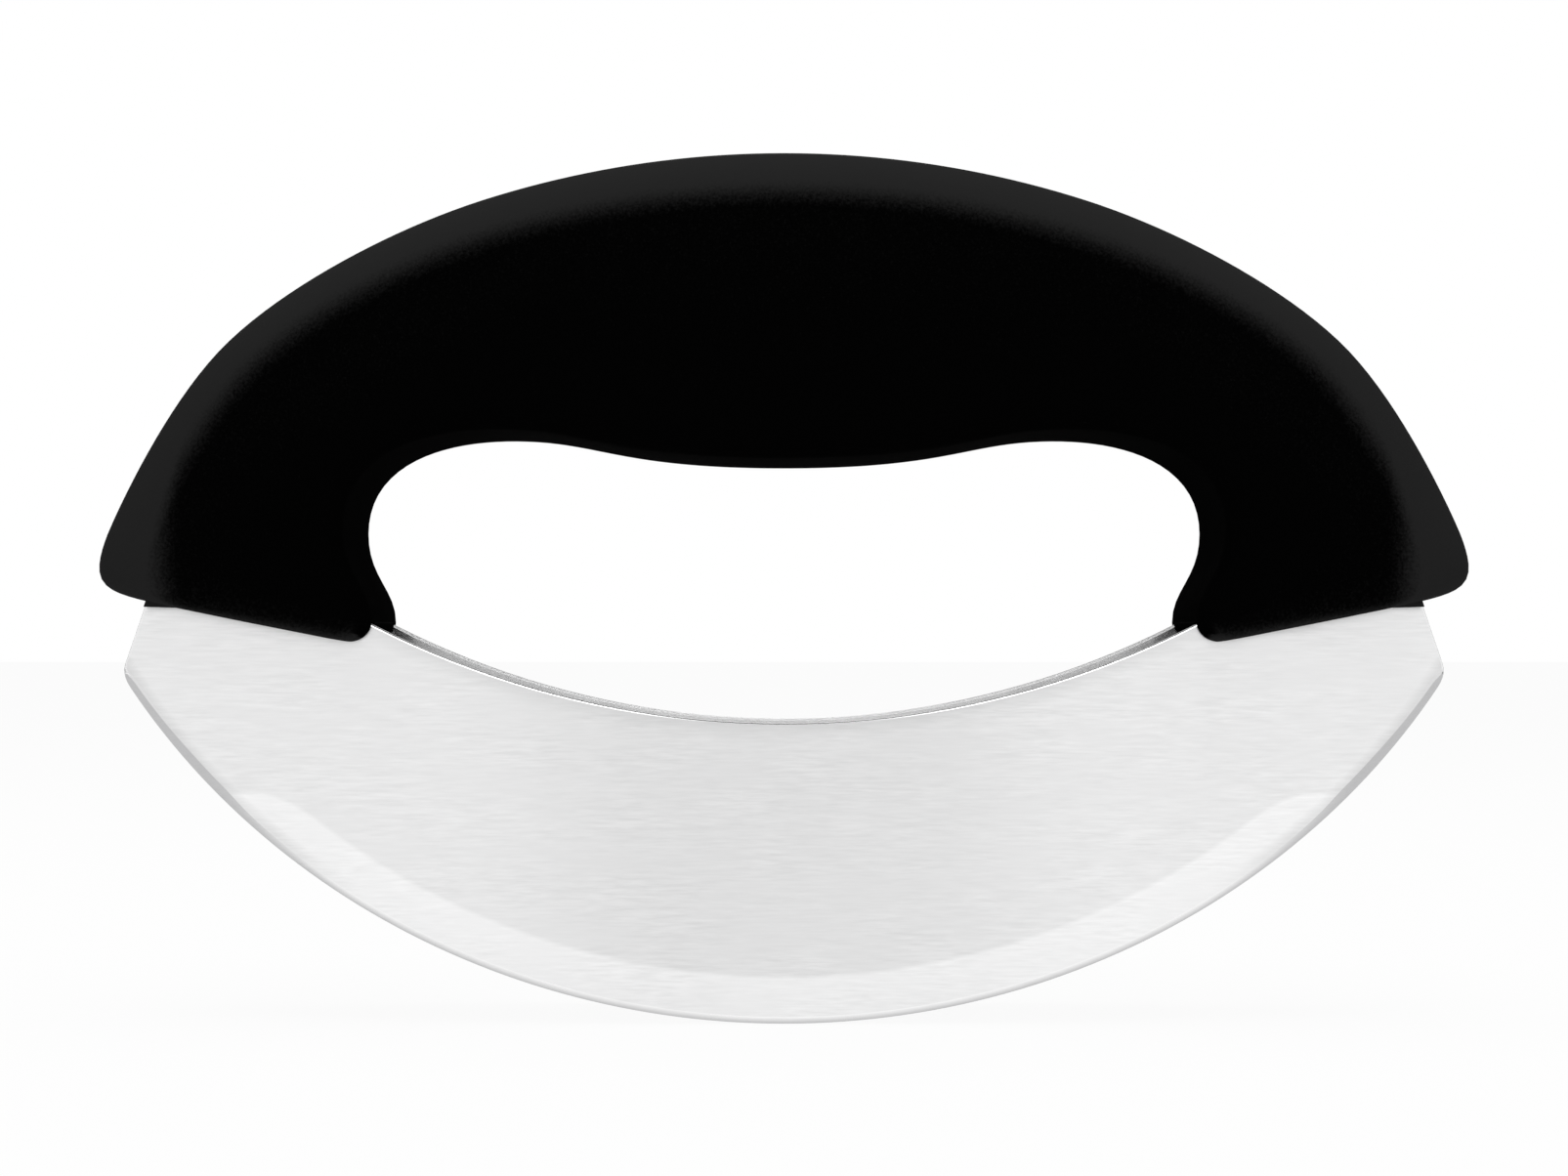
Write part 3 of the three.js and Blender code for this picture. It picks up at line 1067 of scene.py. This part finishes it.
def seen_or_mirrored(sheet):
    """1 for what the camera sees or a surface mirrors, 0 for what only lights."""
    path = sheet.add("ShaderNodeLightPath", "Ray kind").outputs
    seen, mirrored = path["Is Camera Ray"], path["Is Glossy Ray"]
    return sheet.math("MAXIMUM", "Seen or mirrored", seen, mirrored)


def lay_floor(settings):
    """A plain floor that looks white and still takes the tool's shadow."""
    mesh = bpy.data.meshes.new("floor")
    shape = bmesh.new()
    bmesh.ops.create_grid(shape, x_segments=1, y_segments=1, size=FLOOR_HALF)
    shape.to_mesh(mesh)
    shape.free()
    material = bpy.data.materials.new("pale_floor")
    sheet, surface = clear_sheet(material, "ShaderNodeOutputMaterial")
    inputs = {
        "Base Color": (*settings.floor_colour, 1.0),
        "Roughness": 0.9,
        "Specular IOR Level": 0.0,
    }
    paint = sheet.add("ShaderNodeBsdfPrincipled", "Paint", inputs)
    white = sheet.add("ShaderNodeEmission", "White", {"Color": WHITE})
    share = sheet.math("MULTIPLY", "White share", seen_or_mirrored(sheet), FLOOR_WHITE)
    inputs = {"Fac": share, 1: paint.outputs["BSDF"], 2: white.outputs["Emission"]}
    mix = sheet.add("ShaderNodeMixShader", "White with shadow", inputs)
    sheet.feed(surface, mix.outputs["Shader"])
    mesh.materials.append(material)
    new_object("floor", mesh)


def light_world(settings):
    """Even light, seen as a white backdrop by the camera and by the steel."""
    world = bpy.data.worlds.new("studio")
    bpy.context.scene.world = world
    sheet, surface = clear_sheet(world, "ShaderNodeOutputWorld")
    way = sheet.add("ShaderNodeTexCoord", "Way").outputs["Generated"]
    ends = {0: way, 1: (0.0, -1.0, 0.0)}
    front = sheet.add("ShaderNodeVectorMath", "Towards front", ends, operation="DOT_PRODUCT")
    dimmed = sheet.span(
        "Dimmer front",
        front.outputs["Value"],
        1.0,
        settings.front_dimming,
        *FRONT_RANGE,
        smooth=True,
    )
    inputs = {"Color": WHITE, "Strength": settings.surround}
    lit = sheet.add("ShaderNodeBackground", "Surround", inputs)
    inputs = {"Color": WHITE, "Strength": dimmed}
    white = sheet.add("ShaderNodeBackground", "White backdrop", inputs)
    lights = {1: lit.outputs["Background"], 2: white.outputs["Background"]}
    inputs = {"Fac": seen_or_mirrored(sheet), **lights}
    mix = sheet.add("ShaderNodeMixShader", "Backdrop where seen", inputs)
    sheet.feed(surface, mix.outputs["Shader"])


def hang_softbox(settings):
    """One large soft lamp above the tool."""
    lamp = bpy.data.lights.new("top_softbox", "AREA")
    lamp.shape = "RECTANGLE"
    lamp.size, lamp.size_y = SOFTBOX_SIZE
    lamp.energy = settings.top_light
    holder = new_object("top_softbox", lamp)
    holder.location = SOFTBOX_PLACE
    holder.rotation_euler = (SOFTBOX_TILT, 0.0, 0.0)


def set_camera(settings):
    """A level camera in front of the middle of the tool."""
    camera = bpy.data.cameras.new("camera")
    camera.sensor_width = SENSOR_WIDTH
    camera.sensor_fit = "HORIZONTAL"
    camera.lens = settings.lens
    camera.shift_y = settings.rise
    camera.clip_start, camera.clip_end = CLIP_RANGE
    holder = new_object("camera", camera)
    holder.location = (0.0, -settings.camera_distance, settings.camera_height)
    holder.rotation_euler = (math.radians(90), 0.0, 0.0)
    bpy.context.scene.camera = holder


class MEZZALUNA_PT_panel(bpy.types.Panel):
    """Lists the tool's settings and steps"""

    bl_idname = "MEZZALUNA_PT_panel"
    bl_label = "Double mezzaluna"
    bl_space_type = "VIEW_3D"
    bl_region_type = "UI"
    bl_category = "Mezzaluna"

    def draw(self, context):
        scene = context.scene
        for operator, settings in (
            (MEZZALUNA_OT_handle, scene.mezzaluna_handle),
            (MEZZALUNA_OT_blades, scene.mezzaluna_blades),
            (MEZZALUNA_OT_stage, scene.mezzaluna_stage),
        ):
            box = self.layout.box()
            box.operator(operator.bl_idname)
            for name in settings.__annotations__:
                box.prop(settings, name)


SETTINGS = {
    "mezzaluna_handle": HandleSettings,
    "mezzaluna_blades": BladeSettings,
    "mezzaluna_stage": StageSettings,
}
CLASSES = (
    *SETTINGS.values(),
    MEZZALUNA_OT_handle,
    MEZZALUNA_OT_blades,
    MEZZALUNA_OT_stage,
    MEZZALUNA_PT_panel,
)


def register():
    for item in CLASSES:
        bpy.utils.register_class(item)
    for name, group in SETTINGS.items():
        setattr(bpy.types.Scene, name, bpy.props.PointerProperty(type=group))


def unregister():
    for name in SETTINGS:
        delattr(bpy.types.Scene, name)
    for item in reversed(CLASSES):
        bpy.utils.unregister_class(item)


def main():
    register()
    bpy.ops.mezzaluna.handle()
    bpy.ops.mezzaluna.blades()
    bpy.ops.mezzaluna.stage()


if __name__ == "__main__":
    main()
